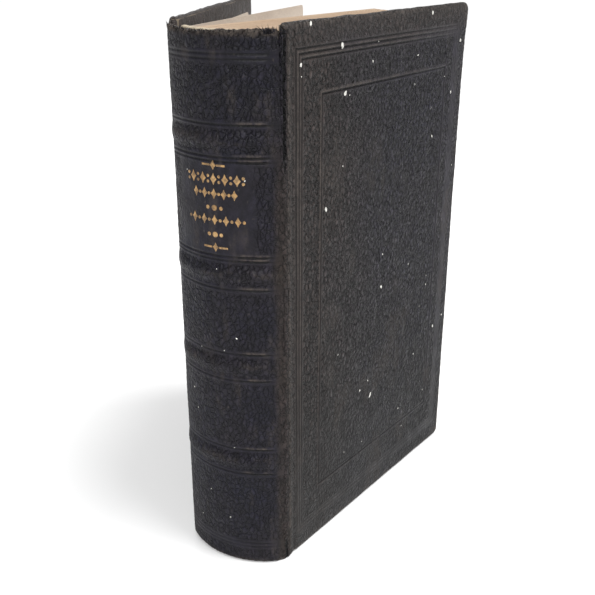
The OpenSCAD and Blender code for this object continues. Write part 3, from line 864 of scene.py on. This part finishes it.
def joint_skin(side, seed):
    """The flexing leather between spine and cover, in under both, and cracked at the front's head."""
    toward = np.array([-SHOULDER[0], -OUTWARD[side] * SHOULDER[1]]) / hypot(*SHOULDER)
    along_cover = np.array([cos(COVER_ANGLE[side]), sin(COVER_ANGLE[side])])
    knots = np.stack([HINGE[side] + 1.2 * toward, HINGE[side], HINGE[side] + 1.3 * along_cover])
    share = np.linspace(0, 1, 15)
    line = sum(w[:, None] * k for w, k in zip(((1 - share) ** 2, 2 * share * (1 - share), share ** 2), knots))
    out = OUTWARD[side] * normals_of(line)
    u, v = grid(share, np.linspace(0.4, CAP_Z - 0.5, 420))
    bow = np.sin(pi * u) ** 0.6
    height = -0.22 + bow * (0.42 + 0.22 * (fbm(u * 4, v / 3, seed) - 0.5))
    height += 0.1 * bow * (fbm(u * 3, v / 0.7, seed + 1) - 0.5)
    crack = np.zeros_like(height)
    if side == FRONT:
        ragged = 0.10 * (fbm(v / 2.2, v * 0, seed + 2) - 0.5) + 0.06 * (fbm(v / 0.7, v * 0, seed + 3) - 0.5)
        torn = most(ease(113, 120, v + 30 * ragged), 0.8 * ease(9, 4, v))
        crack = torn * ease(0.21, 0.10, np.abs(u - 0.45 - 1.6 * ragged))
        height = height - 0.42 * crack
    outer = np.stack([line[:, None, k] + out[:, None, k] * height for k in (0, 1)] + [v], -1)
    inner = np.stack([(line - 0.34 * out)[:, None, k] + 0 * v for k in (0, 1)] + [v], -1)
    points, faces = slab(outer, inner)
    worn = np.clip(0.03 + 0.15 * bow * (0.4 + 1.2 * fbm(u * 8, v / 3, seed + 5)), 0, 1) * (1 - crack)
    tone = 0.6 * (1 - crack)
    if side == FRONT:
        worn *= 1 - 0.8 * ease(112, 120, v)
        tone *= 1 - 0.8 * ease(112, 126, v) * ease(0.7, 0.5, u)
    # Painted shade: the crack is darkened through the crease value.
    piece = add_mesh(f"{side}_joint_skin", points, faces, SHADED_SPINE_LEATHER_LOOK, sharp=70,
                     warm=twice(tone), wear=twice(worn), crease=twice(np.clip(crack * 1.6, 0, 1)))
    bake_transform(piece)
    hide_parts(f"{side}_joint_leather")


# -------- gilt, flecks and fibres

def raised_shape(outline):
    """A thin solid with the outline (t, z) on the spine, its top just above the leather."""
    outline = np.asarray(outline, float)
    middle = outline.mean(0)
    crown = middle + 0.5 * (outline - middle)
    return ring_solid([on_spine(*shape.T, lift) for shape, lift in ((outline, -0.25), (outline, 0.05),
                                                                     (crown, 0.07))])


def lozenge(t, z, half_t, half_z):
    """A lozenge with slightly hollow sides."""
    corner = [(half_t, 0), (0, half_z), (-half_t, 0), (0, -half_z)]
    points = []
    for (a, b), (c, d) in zip(corner, corner[1:] + corner[:1]):
        points += [(t + a, z + b), (t + (a + c) * 0.42, z + (b + d) * 0.42)]
    return points


def dot(t, z, radius):
    return [(t + radius * cos(a), z + radius * sin(a)) for a in np.linspace(0, 2 * pi, 10, False)]


def bar(t, z, half_t, half_z):
    return [(t + a * half_t, z + b * half_z) for a, b in ((-1, -1), (1, -1), (1, 1), (-1, 1))]


def gilt_row(z, half, motif):
    """One row of plain ornaments across the panel, about its middle."""
    middle = -0.8
    if motif == "dots":
        return [dot(middle + k * half * 0.8, z, 0.5 if k else 0.75) for k in range(-1, 2)]
    if motif == "bars":
        ends = [bar(middle + sign * half * 0.62, z, half * 0.34, 0.26) for sign in (-1, 1)]
        return ends + [lozenge(middle, z, 0.9, 1.2)]
    count = max(2, round(half / 1.55)) if motif == "chain" else round(half / 1.7)
    shapes = []
    for k in range(-count, count + 1):
        t = middle + k * half / (count + 0.3)
        if k % 2 == 0:
            shapes.append(lozenge(t, z, 0.85, 1.35) if motif == "chain" else lozenge(t, z, 0.95, 1.5))
        else:
            shapes += [dot(t, z, 0.42)] if motif == "chain" else [dot(t, z - 0.7, 0.4), dot(t, z + 0.7, 0.4)]
    return shapes


def gilt_tooling():
    """Seven rows of gold ornament between the two upper bands."""
    rows = ((0.0, 3.4, "bars"), (0.165, 8.4, "pairs"), (0.34, 6.0, "chain"), (0.51, 2.4, "dots"),
            (0.66, 8.4, "chain"), (0.84, 2.2, "dots"), (1.0, 3.6, "bars"))
    margin = 0.6
    shapes = []
    for share, half, motif in rows:
        shapes += gilt_row(GILT_HIGH - margin - share * (GILT_HIGH - GILT_LOW - 2 * margin), half, motif)
    piece = add_mesh("gilt_tooling", *gather(map(raised_shape, shapes)), GOLD, smooth=False)
    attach(piece, "spine")
    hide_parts("gilt_ornament")


def fleck(place, out, size, rng):
    """A tiny irregular flake lying on a surface."""
    up = np.array([0, 0, 1.0])
    side = np.cross(out, up)
    angles = np.linspace(0, 2 * pi, 9, endpoint=False)
    radii = size * (0.75 + 0.5 * rng.random(9))
    tilt = rng.uniform(-0.5, 0.5)
    stretch = rng.uniform(1.0, 1.9)
    across = radii * (np.cos(angles) + tilt * np.sin(angles))
    ring = place + across[:, None] * side + (stretch * radii * np.sin(angles))[:, None] * up
    crown = place + 0.55 * (ring - place) + out * size * 0.35
    return ring_solid([ring - out * 0.12, ring + out * 0.04, crown])


def paint_flecks():
    """White specks spattered over the front cover, and a few on the spine."""
    rng = np.random.default_rng(5)
    large = [(25, 131, 0.5), (17, 102, 0.36), (46, 71, 0.42), (42, 36, 0.62), (36, 40, 0.34), (23, 143, 0.45),
             (10, 149, 0.4), (6, 140, 0.3), (68, 148, 0.42), (86, 139, 0.42), (61, 137, 0.3), (82, 124, 0.34),
             (72, 112, 0.36), (80, 46, 0.32), (86, 48, 0.28), (68, 40, 0.28), (76, 23, 0.28)]
    small = [(rng.uniform(5, 86), rng.uniform(15, 146), rng.uniform(0.12, 0.24)) for _ in range(20)]
    angle = COVER_ANGLE[FRONT]
    out = np.array([sin(angle), -cos(angle), 0])
    parts = []
    for s, z, size in large + small:
        s, z = np.array([s]), np.array([z])
        place = on_cover(FRONT, s, -cover_relief(s, z, COVER_SEED[FRONT]), z)[0]
        parts.append(fleck(place, out, size, rng))
    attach(add_mesh("cover_flecks", *gather(parts), FLECKS), "front_cover")
    parts = []
    for _ in range(12):
        place, out = spine_spot(rng.uniform(-14, 10), rng.uniform(6, 140))
        parts.append(fleck(place, out, rng.uniform(0.1, 0.22), rng))
    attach(add_mesh("spine_flecks", *gather(parts), FLECKS), "spine")


def fibre(start, direction, length, radius, rng):
    """A tapering curved sliver of torn leather."""
    direction = direction / np.linalg.norm(direction)
    bend = rng.normal(size=3) * 0.35
    side = np.cross(direction, [0.3, 0.5, 0.8])
    side /= np.linalg.norm(side)
    other = np.cross(direction, side)
    points, steps = [], 4
    for f in np.arange(steps) / steps:
        middle = start + length * (direction * f + bend * f * f)
        width = radius * (1 - 0.75 * f)
        points += [middle + width * (side * cos(a) + other * 0.45 * sin(a)) for a in np.arange(5) * 1.2566]
    points.append(start + length * (direction + bend))
    last = (steps - 1) * 5
    faces = grid_faces(steps, 5, loop=True) + [[4, 3, 2, 1, 0]]
    faces += [[last + i, last + (i + 1) % 5, steps * 5] for i in range(5)]
    return np.array(points), faces


def torn_fibres():
    """Frayed slivers along the headcap and down the cracked front joint."""
    rng = np.random.default_rng(8)
    parts = []
    for _ in range(150):
        t = rng.uniform(-18.0, 18.6)
        place, out = spine_spot(t, CAP_Z - rng.uniform(0.6, 1.5))
        place -= out * rng.uniform(0.0, 0.7)
        direction = np.array([*rng.normal(0, 0.35, 2), 1.0]) + 0.2 * out
        torn = t < -13.5 or t > 16.5
        reach = rng.uniform(0.6, 1.5) if torn else rng.uniform(0.35, 0.8)
        parts.append(fibre(place, direction, reach, rng.uniform(0.07, 0.2), rng))
    for _ in range(45):
        place = spine_spot(rng.uniform(-16.8, -14.0), CAP_Z - rng.uniform(0.6, 1.2))[0]
        direction = np.array([*rng.normal(0, 0.3, 2), 1.0])
        parts.append(fibre(place, direction, rng.uniform(0.6, 1.3), rng.uniform(0.12, 0.26), rng))
    crack = HINGE[FRONT] - 0.97 * np.array([SHOULDER[0], -SHOULDER[1]]) / hypot(*SHOULDER)
    for _ in range(170):
        z = CAP_Z - abs(rng.normal(0, 14))
        place = np.array([*(crack + rng.normal(0, 0.06, 2)), z])
        direction = np.array([rng.normal(-0.4, 0.3), -0.3, rng.normal(0.3, 1.0)])
        parts.append(fibre(place, direction, rng.uniform(0.18, 0.3), rng.uniform(0.06, 0.12), rng))
    points, faces = gather(parts)
    count = len(points)
    # A slight painted shade over every fibre, through the crease value.
    piece = add_mesh("torn_fibres", points, faces, SHADED_SPINE_LEATHER_LOOK, warm=np.zeros(count),
                     wear=rng.random(count) * 0.15, crease=np.full(count, 0.3))
    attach(piece, "spine")


# -------- leaves and endpapers

def section_thickness(k, r, length):
    """Thickness of section k at r from its turning line: thin at the gutter, so that it can turn."""
    pitch = joint_xy("leaves_02_turn")[1] - joint_xy("leaves_01_turn")[1]
    full = pitch - 0.06
    fore = full - length * sin(radians(SQUEEZE_DEG))
    turn = joint(f"leaves_{k:02d}_turn")["range_deg"][1]
    most_turn = radians(turn - degrees(COVER_ANGLE[FRONT]) + (k - 1) * SQUEEZE_DEG)
    spread = radians(turn) / (SECTIONS + 1 - k)
    room = pitch * cos(most_turn) + r * spread - 0.08
    return least(full + (fore - full) * r / length, room, full)


def leaf_sheets(k):
    """The leaves of one section: thin sheets of slightly uneven trim that follow its turn."""
    rng = np.random.default_rng(100 + k)
    pivot = joint_xy(f"leaves_{k:02d}_turn")
    angle = COVER_ANGLE[FRONT] - (k - 1) * radians(SQUEEZE_DEG)
    length = (corners(f"leaves_{k:02d}")[1][0] - pivot[0]) / cos(angle) - 0.12
    parts, edges = [], []
    for j in range(SHEETS):
        far = length + rng.uniform(-0.12, 0.1)
        low, high = LEAF_LOW + rng.uniform(0, 0.12), LEAF_HIGH - rng.uniform(0, 0.12)
        r = np.concatenate([[0.0, 2.0, 5.0, 9.0, 15.0], np.linspace(24, far - SHEET_CORNER, 5),
                            far - SHEET_CORNER * np.array([0.8, 0.55, 0.3, 0.12, 0.0])])
        r, z = grid(r, sheet_lines(low, high, SHEET_CORNER, 26))
        r, z = round_corners(r, z, far, low, high, SHEET_CORNER)
        thick = section_thickness(k, r, length)
        middle = ((j + 0.5) / SHEETS - 0.5) * thick + 0.018 * np.sin(z / 19 + k) * ease(10, 60, r)
        half = 0.4 * thick / SHEETS
        parts.append(slab(*(turned(pivot, angle, r, middle + sign * half, z) for sign in (-1, 1))))
        edges.append(twice(ease(5, 0, least(z - low, high - z, far - r))))
    piece = add_mesh(f"section_{k:02d}_sheets", *gather(parts), LEAF_PAPER, sharp=40,
                     edge=np.concatenate(edges))
    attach(piece, f"section_{k:02d}")
    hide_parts(f"leaves_{k:02d}")


def free_endpaper(side):
    """The loose half of an endpaper."""
    name = f"{side}_free_endpaper"
    pivot = joint_xy(f"{side}_endpaper_turn")
    (_, low_y, low_z), (high_x, high_y, high_z) = corners(name)
    along = np.array([high_x, high_y if side == BACK else low_y]) - pivot
    angle, length = atan2(along[1], along[0]), hypot(*along) - 0.1
    corner = SHEET_CORNER if side == FRONT else 1.2
    r, z = grid(sheet_lines(0.0, length, corner, 4), sheet_lines(low_z, high_z, corner, 6))
    r, z = round_corners(r, z, length, low_z, high_z, corner)
    edge = ease(8, 0, least(z - low_z, high_z - z, length - r))
    wave = 0.03 * np.sin(r / 13 + z / 40)
    points, faces = slab(*(turned(pivot, angle, r, wave + sign * 0.09, z) for sign in (-1, 1)))
    piece = add_mesh(f"{name}_sheet", points, faces, END_PAPER, sharp=40, edge=twice(edge))
    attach(piece, f"{side}_endpaper")
    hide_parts(name)


def inner_hinge(side):
    """The strip of endpaper pasted into the inner joint, from the fold of the endpaper to the hinge line."""
    bends = [(-0.42, 0.0), (-0.85, 0.0), (-1.22, 0.14), (-1.32, 0.7), (-1.3, 1.5), (-1.2, 2.2), (-0.98, 2.7)]
    line = joint_xy(f"{side}_endpaper_turn") + np.array(bends) * (1, OUTWARD[side])
    z = np.linspace(LEAF_LOW + 1, LEAF_HIGH - 6, 12)[None, :]
    points, faces = slab(*(np.stack([line[:, :1] + 0.07 * sign + 0 * z, line[:, 1:] + 0 * z,
                                     z + 0 * line[:, :1]], -1) for sign in (-1, 1)))
    piece = add_mesh(f"{side}_inner_hinge", points, faces, END_PAPER, sharp=40,
                     edge=np.full(len(points), 0.5))
    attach(piece, "spine")


def endband(name, node_name):
    """A rolled cloth bead with wound threads, bent round the backs of the sections."""
    low, high = corners(node_name)
    radius, reach = arc_size(high[1] - 0.4, high[0] - 1.0 - low[0])
    rows, columns, winding = 160, 12, 0.62
    a, b = grid(np.linspace(-reach, reach, rows), np.linspace(0, 2 * pi, columns, endpoint=False))
    wound = 1 + 0.07 * np.sin(a * radius * 2 * pi / winding + b)
    from_centre = radius - (0.9 + 0.88 * wound * np.cos(b))
    height = (low[2] + high[2]) / 2 + 0.95 * (high[2] - low[2]) / 2 * wound * np.sin(b)
    points = np.stack([low[0] + radius - from_centre * np.cos(a), from_centre * np.sin(a), height], -1)
    faces = grid_faces(rows, columns, loop=True)
    faces += [list(range(columns)), list(range((rows - 1) * columns, rows * columns))]
    piece = add_mesh(name, points.reshape(-1, 3), faces, ENDBAND)
    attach(piece, "spine")
    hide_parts(node_name)


def dress_cad_nodes():
    """Materials for the CAD nodes that stay as they are."""
    looks = {"front_board": MILLBOARD, "back_board": MILLBOARD, "spine_inlay": SPINE_CARD,
             "headcap_cord": CORD, "tailcap_cord": CORD, "spine_lining": LINING,
             "kettle_stitches": THREAD, "section_folds": FOLD_LINES}
    looks.update({f"raised_band_core_{i}": SPINE_CARD for i in range(1, 5)})
    looks.update({f"sewing_tape_{i}": TAPE for i in range(1, 4)})
    for name, material in looks.items():
        mesh = frame["nodes"][name].data
        mesh.materials.clear()
        mesh.materials.append(material)


# -------- stage

def facing(direction):
    """The rotation that turns a camera or lamp to face a direction."""
    return Vector(direction).to_track_quat("-Z", "Y").to_euler()


def add_camera():
    data = bpy.data.cameras.new("camera")
    data.lens, data.sensor_width = 52.16, 36
    data.clip_start, data.clip_end = 0.01, 100
    camera = add_object("camera", data)
    camera.location = Vector((-168.2, -119.57, 167.33)) * MM
    heading, pitch = radians(29.56), radians(22.56)
    camera.rotation_euler = facing((cos(heading) * cos(pitch), sin(heading) * cos(pitch),
                                    -sin(pitch)))
    bpy.context.scene.camera = camera


def add_light(name, place, width, power):
    """A square soft lamp that faces the middle of the book."""
    data = bpy.data.lights.new(name, "AREA")
    data.shape, data.size, data.energy = "SQUARE", width, power
    light = add_object(name, data)
    light.location = place
    light.rotation_euler = facing(Vector((0.04, 0.0, 0.075)) - Vector(place))


def add_stage():
    """A pale floor, a white surround and soft lights."""
    mesh = bpy.data.meshes.new("studio_floor")
    half, height = 30.0, -0.0001
    square = [(a * half, b * half, height) for a, b in ((-1, -1), (1, -1), (1, 1), (-1, 1))]
    mesh.from_pydata(square, [], [(0, 1, 2, 3)])
    mesh.materials.append(floor_paint("studio_floor"))
    add_object("studio_floor", mesh)
    world = bpy.data.worlds.new("studio")
    world.use_nodes = True
    background = world.node_tree.nodes["Background"]
    background.inputs["Color"].default_value = (1.0, 1.0, 1.0, 1)
    background.inputs["Strength"].default_value = 0.45
    bpy.context.scene.world = world
    sun = bpy.data.lights.new("sky_panel", "SUN")
    sun.energy, sun.angle = 2.4, radians(30)
    add_object("sky_panel", sun).rotation_euler = facing((-0.10, 0.42, -0.90))
    add_light("key", (-0.62, -0.30, 0.62), 0.2, 4.5)
    add_light("rim", (0.5, 0.6, 0.7), 0.5, 3.0)
    bpy.context.scene.view_settings.view_transform = "Standard"


COVER_SEED = {FRONT: 3, BACK: 23}
add_camera()
add_stage()
for cover_side in (FRONT, BACK):
    cover_skin(cover_side, COVER_SEED[cover_side])
    pastedown(cover_side)
    joint_skin(cover_side, 30 + OUTWARD[cover_side])
    free_endpaper(cover_side)
    inner_hinge(cover_side)
spine_skin()
gilt_tooling()
paint_flecks()
torn_fibres()
for section in range(1, SECTIONS + 1):
    leaf_sheets(section)
endband("head_endband_roll", "head_endband")
endband("tail_endband_roll", "tail_endband")
dress_cad_nodes()
